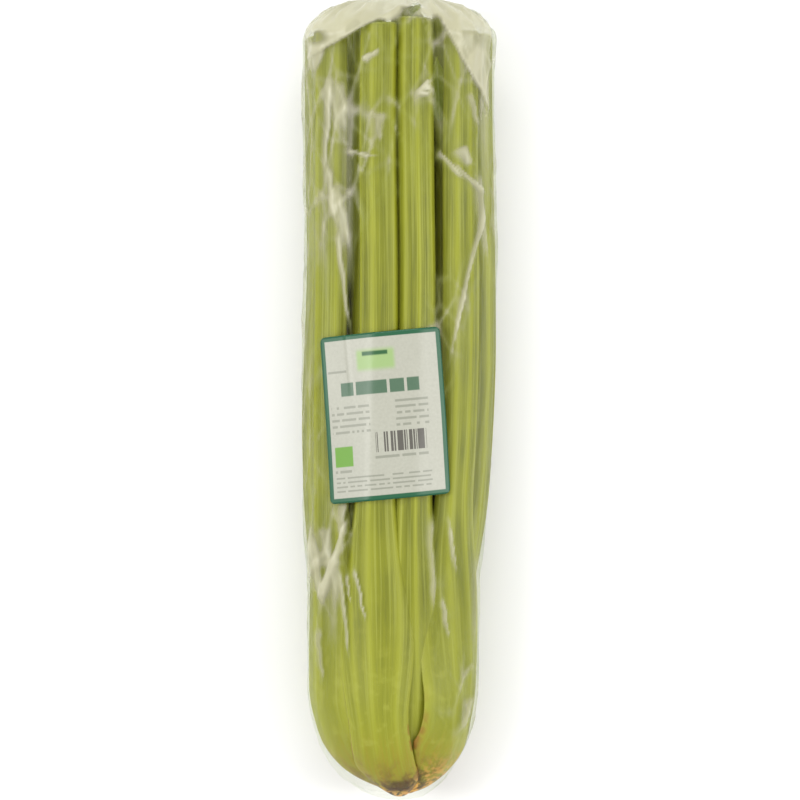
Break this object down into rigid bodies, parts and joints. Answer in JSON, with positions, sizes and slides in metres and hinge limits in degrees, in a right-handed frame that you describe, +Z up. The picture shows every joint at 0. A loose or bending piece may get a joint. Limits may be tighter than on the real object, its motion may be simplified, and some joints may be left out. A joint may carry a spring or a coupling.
{
  "type": "celery head in a film bag",
  "caption": "Trimmed head of celery lying on its back in a tight clear film bag with a rectangular label; rounded root end, cut stalk tops.",
  "frame": {"origin": "on the resting plane, under the middle of the head's bounding box", "axes": "+Z up from the resting plane; +Y along the head from the root end to the cut tops; +X to the right seen from above with the tops away from the viewer"},
  "size_m": [0.083, 0.3399, 0.0646],
  "materials": {
    "celery_stalk": null,
    "celery_crown": null,
    "celery_leaf": null,
    "clear_film": "clear glossy film",
    "label_paper": "satin coated paper"
  },
  "bodies": {
    "root": {"film_bag": "clear_film", "heart_leaf_1": "celery_leaf", "heart_leaf_2": "celery_leaf", "heart_leaf_3": "celery_leaf", "heart_stalk_13": "celery_stalk", "heart_stalk_14": "celery_stalk", "heart_stalk_15": "celery_stalk", "heart_stalk_16": "celery_stalk", "inner_stalk_10": "celery_stalk", "inner_stalk_11": "celery_stalk", "inner_stalk_12": "celery_stalk", "inner_stalk_9": "celery_stalk", "label": "label_paper", "outer_stalk_1": "celery_stalk", "outer_stalk_2": "celery_stalk", "outer_stalk_3": "celery_stalk", "outer_stalk_4": "celery_stalk", "outer_stalk_5": "celery_stalk", "outer_stalk_6": "celery_stalk", "outer_stalk_7": "celery_stalk", "outer_stalk_8": "celery_stalk", "root_crown": "celery_crown"}
  },
  "joints": []
}
